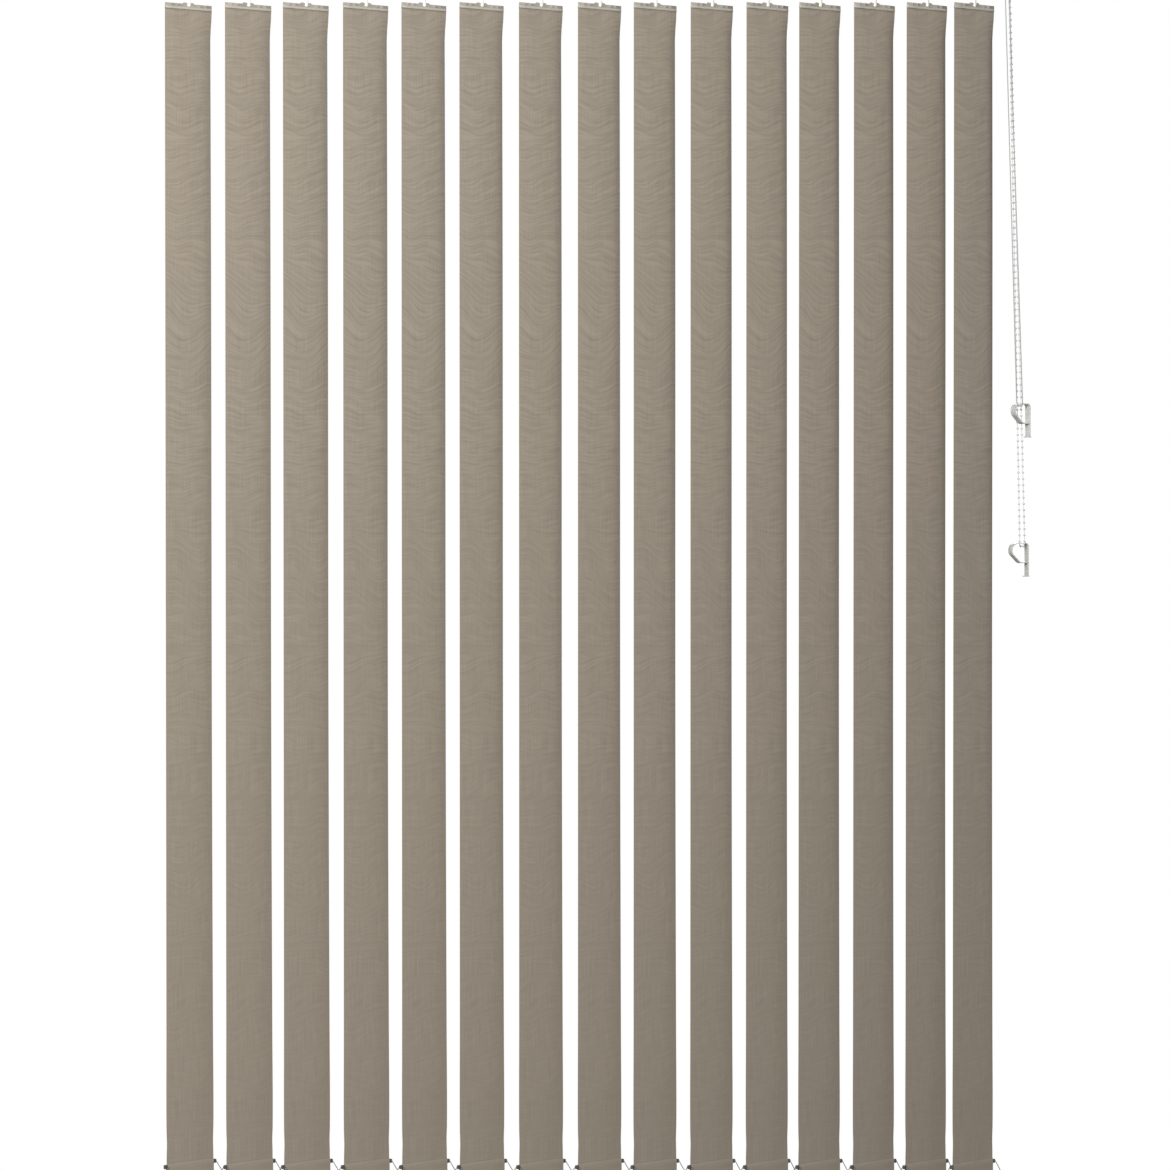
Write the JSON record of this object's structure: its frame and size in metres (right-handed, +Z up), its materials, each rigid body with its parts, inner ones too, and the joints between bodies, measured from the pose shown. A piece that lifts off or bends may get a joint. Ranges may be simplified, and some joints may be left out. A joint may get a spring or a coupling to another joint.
{
  "type": "vertical blind",
  "caption": "Vertical blind with tall taupe fabric vanes hung from a slim headrail, with draw cord, bead chain and P-clips.",
  "frame": {"origin": "centre of the line of bracket screws, on the ceiling plane", "axes": "+X along the headrail towards the control end, +Y away from the room, +Z up"},
  "size_m": [1.67, 0.1058, 2.3215],
  "materials": {
    "rail_enamel": "white stove enamel on extruded aluminium",
    "white_plastic": "injection moulded, satin",
    "white_acetal": "moulded acetal",
    "clip_plastic": "translucent moulded strip",
    "spring_steel": "zinc plated",
    "aluminium_rod": "as extruded",
    "white_cord": "braided polyester",
    "bead_chain": "moulded beads on a string",
    "grey_chain": "moulded beads on a string",
    "taupe_fabric": "woven slub polyester, stiffened"
  },
  "bodies": {
    "root": {"headrail": "rail_enamel", "end_cap": "white_plastic", "control_housing": "white_plastic", "mounting_brackets": "spring_steel", "p_clip_upper": "clip_plastic", "p_clip_lower": "clip_plastic", "draw_cord": "white_cord", "tilt_chain": "bead_chain", "carrier_15": "white_acetal"},
    "carrier_01": {"carrier_01": "white_acetal"},
    "vane_01": {"vane_01": "taupe_fabric"},
    "worm_01": {"worm_01": "white_acetal"},
    "carrier_02": {"carrier_02": "white_acetal"},
    "vane_02": {"vane_02": "taupe_fabric"},
    "worm_02": {"worm_02": "white_acetal"},
    "carrier_03": {"carrier_03": "white_acetal"},
    "vane_03": {"vane_03": "taupe_fabric"},
    "worm_03": {"worm_03": "white_acetal"},
    "carrier_04": {"carrier_04": "white_acetal"},
    "vane_04": {"vane_04": "taupe_fabric"},
    "worm_04": {"worm_04": "white_acetal"},
    "carrier_05": {"carrier_05": "white_acetal"},
    "vane_05": {"vane_05": "taupe_fabric"},
    "worm_05": {"worm_05": "white_acetal"},
    "carrier_06": {"carrier_06": "white_acetal"},
    "vane_06": {"vane_06": "taupe_fabric"},
    "worm_06": {"worm_06": "white_acetal"},
    "carrier_07": {"carrier_07": "white_acetal"},
    "vane_07": {"vane_07": "taupe_fabric"},
    "worm_07": {"worm_07": "white_acetal"},
    "carrier_08": {"carrier_08": "white_acetal"},
    "vane_08": {"vane_08": "taupe_fabric"},
    "worm_08": {"worm_08": "white_acetal"},
    "carrier_09": {"carrier_09": "white_acetal"},
    "vane_09": {"vane_09": "taupe_fabric"},
    "worm_09": {"worm_09": "white_acetal"},
    "carrier_10": {"carrier_10": "white_acetal"},
    "vane_10": {"vane_10": "taupe_fabric"},
    "worm_10": {"worm_10": "white_acetal"},
    "carrier_11": {"carrier_11": "white_acetal"},
    "vane_11": {"vane_11": "taupe_fabric"},
    "worm_11": {"worm_11": "white_acetal"},
    "carrier_12": {"carrier_12": "white_acetal"},
    "vane_12": {"vane_12": "taupe_fabric"},
    "worm_12": {"worm_12": "white_acetal"},
    "carrier_13": {"carrier_13": "white_acetal"},
    "vane_13": {"vane_13": "taupe_fabric"},
    "worm_13": {"worm_13": "white_acetal"},
    "carrier_14": {"carrier_14": "white_acetal"},
    "vane_14": {"vane_14": "taupe_fabric"},
    "worm_14": {"worm_14": "white_acetal"},
    "vane_15": {"vane_15": "taupe_fabric"},
    "worm_15": {"worm_15": "white_acetal"},
    "tilt_rod": {"tilt_rod": "aluminium_rod", "chain_wheel": "white_plastic"},
    "idler_pulley": {"idler_pulley": "white_plastic"},
    "drop_pulley_outer": {"drop_pulley_outer": "white_plastic"},
    "drop_pulley_inner": {"drop_pulley_inner": "white_plastic"},
    "bottom_chain_front": {"bottom_chain_front": "grey_chain"},
    "bottom_chain_rear": {"bottom_chain_rear": "grey_chain"}
  },
  "joints": [
    {"name": "traverse", "type": "slide", "parent": "root", "child": "carrier_01", "axis": [1, 0, 0], "range_m": [0, 1.1751], "deforming": ["bottom_chain_front", "bottom_chain_rear"]},
    {"name": "tilt", "type": "hinge", "parent": "carrier_01", "child": "vane_01", "pos_m": [-0.773, 0, -0.0335], "axis": [0, 0, 1], "range_deg": [-34.5, 115.5]},
    {"name": "worm_01_spin", "type": "hinge", "parent": "carrier_01", "child": "worm_01", "pos_m": [-0.773, 0.0095, -0.0155], "axis": [1, 0, 0], "range_deg": [-345, 1155]},
    {"name": "carrier_02_slide", "type": "slide", "parent": "root", "child": "carrier_02", "axis": [1, 0, 0], "range_m": [0, 1.0859]},
    {"name": "vane_02_tilt", "type": "hinge", "parent": "carrier_02", "child": "vane_02", "pos_m": [-0.659, 0, -0.0335], "axis": [0, 0, 1], "range_deg": [-34.5, 115.5]},
    {"name": "worm_02_spin", "type": "hinge", "parent": "carrier_02", "child": "worm_02", "pos_m": [-0.659, 0.0095, -0.0155], "axis": [1, 0, 0], "range_deg": [-345, 1155]},
    {"name": "carrier_03_slide", "type": "slide", "parent": "root", "child": "carrier_03", "axis": [1, 0, 0], "range_m": [0, 0.9996]},
    {"name": "vane_03_tilt", "type": "hinge", "parent": "carrier_03", "child": "vane_03", "pos_m": [-0.549, 0, -0.0335], "axis": [0, 0, 1], "range_deg": [-34.5, 115.5]},
    {"name": "worm_03_spin", "type": "hinge", "parent": "carrier_03", "child": "worm_03", "pos_m": [-0.549, 0.0095, -0.0155], "axis": [1, 0, 0], "range_deg": [-345, 1155]},
    {"name": "carrier_04_slide", "type": "slide", "parent": "root", "child": "carrier_04", "axis": [1, 0, 0], "range_m": [0, 0.9102]},
    {"name": "vane_04_tilt", "type": "hinge", "parent": "carrier_04", "child": "vane_04", "pos_m": [-0.435, 0, -0.0335], "axis": [0, 0, 1], "range_deg": [-34.5, 115.5]},
    {"name": "worm_04_spin", "type": "hinge", "parent": "carrier_04", "child": "worm_04", "pos_m": [-0.435, 0.0095, -0.0155], "axis": [1, 0, 0], "range_deg": [-345, 1155]},
    {"name": "carrier_05_slide", "type": "slide", "parent": "root", "child": "carrier_05", "axis": [1, 0, 0], "range_m": [0, 0.8231]},
    {"name": "vane_05_tilt", "type": "hinge", "parent": "carrier_05", "child": "vane_05", "pos_m": [-0.324, 0, -0.0335], "axis": [0, 0, 1], "range_deg": [-34.5, 115.5]},
    {"name": "worm_05_spin", "type": "hinge", "parent": "carrier_05", "child": "worm_05", "pos_m": [-0.324, 0.0095, -0.0155], "axis": [1, 0, 0], "range_deg": [-345, 1155]},
    {"name": "carrier_06_slide", "type": "slide", "parent": "root", "child": "carrier_06", "axis": [1, 0, 0], "range_m": [0, 0.7368]},
    {"name": "vane_06_tilt", "type": "hinge", "parent": "carrier_06", "child": "vane_06", "pos_m": [-0.214, 0, -0.0335], "axis": [0, 0, 1], "range_deg": [-34.5, 115.5]},
    {"name": "worm_06_spin", "type": "hinge", "parent": "carrier_06", "child": "worm_06", "pos_m": [-0.214, 0.0095, -0.0155], "axis": [1, 0, 0], "range_deg": [-345, 1155]},
    {"name": "carrier_07_slide", "type": "slide", "parent": "root", "child": "carrier_07", "axis": [1, 0, 0], "range_m": [0, 0.6482]},
    {"name": "vane_07_tilt", "type": "hinge", "parent": "carrier_07", "child": "vane_07", "pos_m": [-0.101, 0, -0.0335], "axis": [0, 0, 1], "range_deg": [-34.5, 115.5]},
    {"name": "worm_07_spin", "type": "hinge", "parent": "carrier_07", "child": "worm_07", "pos_m": [-0.101, 0.0095, -0.0155], "axis": [1, 0, 0], "range_deg": [-345, 1155]},
    {"name": "carrier_08_slide", "type": "slide", "parent": "root", "child": "carrier_08", "axis": [1, 0, 0], "range_m": [0, 0.5603]},
    {"name": "vane_08_tilt", "type": "hinge", "parent": "carrier_08", "child": "vane_08", "pos_m": [0.011, 0, -0.0335], "axis": [0, 0, 1], "range_deg": [-34.5, 115.5]},
    {"name": "worm_08_spin", "type": "hinge", "parent": "carrier_08", "child": "worm_08", "pos_m": [0.011, 0.0095, -0.0155], "axis": [1, 0, 0], "range_deg": [-345, 1155]},
    {"name": "carrier_09_slide", "type": "slide", "parent": "root", "child": "carrier_09", "axis": [1, 0, 0], "range_m": [0, 0.4771]},
    {"name": "vane_09_tilt", "type": "hinge", "parent": "carrier_09", "child": "vane_09", "pos_m": [0.117, 0, -0.0335], "axis": [0, 0, 1], "range_deg": [-34.5, 115.5]},
    {"name": "worm_09_spin", "type": "hinge", "parent": "carrier_09", "child": "worm_09", "pos_m": [0.117, 0.0095, -0.0155], "axis": [1, 0, 0], "range_deg": [-345, 1155]},
    {"name": "carrier_10_slide", "type": "slide", "parent": "root", "child": "carrier_10", "axis": [1, 0, 0], "range_m": [0, 0.3924]},
    {"name": "vane_10_tilt", "type": "hinge", "parent": "carrier_10", "child": "vane_10", "pos_m": [0.225, 0, -0.0335], "axis": [0, 0, 1], "range_deg": [-34.5, 115.5]},
    {"name": "worm_10_spin", "type": "hinge", "parent": "carrier_10", "child": "worm_10", "pos_m": [0.225, 0.0095, -0.0155], "axis": [1, 0, 0], "range_deg": [-345, 1155]},
    {"name": "carrier_11_slide", "type": "slide", "parent": "root", "child": "carrier_11", "axis": [1, 0, 0], "range_m": [0, 0.3093]},
    {"name": "vane_11_tilt", "type": "hinge", "parent": "carrier_11", "child": "vane_11", "pos_m": [0.331, 0, -0.0335], "axis": [0, 0, 1], "range_deg": [-34.5, 115.5]},
    {"name": "worm_11_spin", "type": "hinge", "parent": "carrier_11", "child": "worm_11", "pos_m": [0.331, 0.0095, -0.0155], "axis": [1, 0, 0], "range_deg": [-345, 1155]},
    {"name": "carrier_12_slide", "type": "slide", "parent": "root", "child": "carrier_12", "axis": [1, 0, 0], "range_m": [0, 0.2308]},
    {"name": "vane_12_tilt", "type": "hinge", "parent": "carrier_12", "child": "vane_12", "pos_m": [0.431, 0, -0.0335], "axis": [0, 0, 1], "range_deg": [-34.5, 115.5]},
    {"name": "worm_12_spin", "type": "hinge", "parent": "carrier_12", "child": "worm_12", "pos_m": [0.431, 0.0095, -0.0155], "axis": [1, 0, 0], "range_deg": [-345, 1155]},
    {"name": "carrier_13_slide", "type": "slide", "parent": "root", "child": "carrier_13", "axis": [1, 0, 0], "range_m": [0, 0.1492]},
    {"name": "vane_13_tilt", "type": "hinge", "parent": "carrier_13", "child": "vane_13", "pos_m": [0.535, 0, -0.0335], "axis": [0, 0, 1], "range_deg": [-34.5, 115.5]},
    {"name": "worm_13_spin", "type": "hinge", "parent": "carrier_13", "child": "worm_13", "pos_m": [0.535, 0.0095, -0.0155], "axis": [1, 0, 0], "range_deg": [-345, 1155]},
    {"name": "carrier_14_slide", "type": "slide", "parent": "root", "child": "carrier_14", "axis": [1, 0, 0], "range_m": [0, 0.0708]},
    {"name": "vane_14_tilt", "type": "hinge", "parent": "carrier_14", "child": "vane_14", "pos_m": [0.635, 0, -0.0335], "axis": [0, 0, 1], "range_deg": [-34.5, 115.5]},
    {"name": "worm_14_spin", "type": "hinge", "parent": "carrier_14", "child": "worm_14", "pos_m": [0.635, 0.0095, -0.0155], "axis": [1, 0, 0], "range_deg": [-345, 1155]},
    {"name": "vane_15_tilt", "type": "hinge", "parent": "root", "child": "vane_15", "pos_m": [0.725, 0, -0.0335], "axis": [0, 0, 1], "range_deg": [-34.5, 115.5]},
    {"name": "worm_15_spin", "type": "hinge", "parent": "root", "child": "worm_15", "pos_m": [0.725, 0.0095, -0.0155], "axis": [1, 0, 0], "range_deg": [-345, 1155]},
    {"name": "tilt_rod_spin", "type": "hinge", "parent": "root", "child": "tilt_rod", "pos_m": [0, 0.0095, -0.0155], "axis": [1, 0, 0], "range_deg": [-345, 1155]},
    {"name": "idler_pulley_spin", "type": "hinge", "parent": "root", "child": "idler_pulley", "pos_m": [-0.8234, -0.01, -0.018], "axis": [0, 1, 0], "continuous": true},
    {"name": "drop_pulley_outer_spin", "type": "hinge", "parent": "root", "child": "drop_pulley_outer", "pos_m": [0.784, -0.01, -0.0175], "axis": [0, 1, 0], "continuous": true},
    {"name": "drop_pulley_inner_spin", "type": "hinge", "parent": "root", "child": "drop_pulley_inner", "pos_m": [0.7775, -0.01, -0.0295], "axis": [0, 1, 0], "continuous": true},
    {"name": "bottom_chain_front_swing", "type": "hinge", "parent": "vane_01", "child": "bottom_chain_front", "pos_m": [-0.81573, -0.05004, -2.27345], "axis": [0, 0, 1], "range_deg": [-115.5, 34.5]},
    {"name": "bottom_chain_rear_swing", "type": "hinge", "parent": "vane_01", "child": "bottom_chain_rear", "pos_m": [-0.73027, 0.05004, -2.27345], "axis": [0, 0, 1], "range_deg": [-115.5, 34.5]}
  ],
  "couplings": [
    {"joint": "worm_01_spin", "follows": "tilt", "ratio": 10},
    {"joint": "carrier_02_slide", "follows": "traverse", "ratio": 0.9239},
    {"joint": "vane_02_tilt", "follows": "tilt", "ratio": 1},
    {"joint": "worm_02_spin", "follows": "tilt", "ratio": 10},
    {"joint": "carrier_03_slide", "follows": "traverse", "ratio": 0.85047},
    {"joint": "vane_03_tilt", "follows": "tilt", "ratio": 1},
    {"joint": "worm_03_spin", "follows": "tilt", "ratio": 10},
    {"joint": "carrier_04_slide", "follows": "traverse", "ratio": 0.77437},
    {"joint": "vane_04_tilt", "follows": "tilt", "ratio": 1},
    {"joint": "worm_04_spin", "follows": "tilt", "ratio": 10},
    {"joint": "carrier_05_slide", "follows": "traverse", "ratio": 0.70027},
    {"joint": "vane_05_tilt", "follows": "tilt", "ratio": 1},
    {"joint": "worm_05_spin", "follows": "tilt", "ratio": 10},
    {"joint": "carrier_06_slide", "follows": "traverse", "ratio": 0.62684},
    {"joint": "vane_06_tilt", "follows": "tilt", "ratio": 1},
    {"joint": "worm_06_spin", "follows": "tilt", "ratio": 10},
    {"joint": "carrier_07_slide", "follows": "traverse", "ratio": 0.5514},
    {"joint": "vane_07_tilt", "follows": "tilt", "ratio": 1},
    {"joint": "worm_07_spin", "follows": "tilt", "ratio": 10},
    {"joint": "carrier_08_slide", "follows": "traverse", "ratio": 0.47664},
    {"joint": "vane_08_tilt", "follows": "tilt", "ratio": 1},
    {"joint": "worm_08_spin", "follows": "tilt", "ratio": 10},
    {"joint": "carrier_09_slide", "follows": "traverse", "ratio": 0.40587},
    {"joint": "vane_09_tilt", "follows": "tilt", "ratio": 1},
    {"joint": "worm_09_spin", "follows": "tilt", "ratio": 10},
    {"joint": "carrier_10_slide", "follows": "traverse", "ratio": 0.33378},
    {"joint": "vane_10_tilt", "follows": "tilt", "ratio": 1},
    {"joint": "worm_10_spin", "follows": "tilt", "ratio": 10},
    {"joint": "carrier_11_slide", "follows": "traverse", "ratio": 0.26302},
    {"joint": "vane_11_tilt", "follows": "tilt", "ratio": 1},
    {"joint": "worm_11_spin", "follows": "tilt", "ratio": 10},
    {"joint": "carrier_12_slide", "follows": "traverse", "ratio": 0.19626},
    {"joint": "vane_12_tilt", "follows": "tilt", "ratio": 1},
    {"joint": "worm_12_spin", "follows": "tilt", "ratio": 10},
    {"joint": "carrier_13_slide", "follows": "traverse", "ratio": 0.12684},
    {"joint": "vane_13_tilt", "follows": "tilt", "ratio": 1},
    {"joint": "worm_13_spin", "follows": "tilt", "ratio": 10},
    {"joint": "carrier_14_slide", "follows": "traverse", "ratio": 0.06008},
    {"joint": "vane_14_tilt", "follows": "tilt", "ratio": 1},
    {"joint": "worm_14_spin", "follows": "tilt", "ratio": 10},
    {"joint": "vane_15_tilt", "follows": "tilt", "ratio": 1},
    {"joint": "worm_15_spin", "follows": "tilt", "ratio": 10},
    {"joint": "tilt_rod_spin", "follows": "tilt", "ratio": 10},
    {"joint": "idler_pulley_spin", "follows": "traverse", "rad_per_m": -166.67},
    {"joint": "drop_pulley_outer_spin", "follows": "traverse", "rad_per_m": -181.82},
    {"joint": "drop_pulley_inner_spin", "follows": "traverse", "rad_per_m": 181.82},
    {"joint": "bottom_chain_front_swing", "follows": "tilt", "ratio": -1},
    {"joint": "bottom_chain_rear_swing", "follows": "tilt", "ratio": -1}
  ]
}
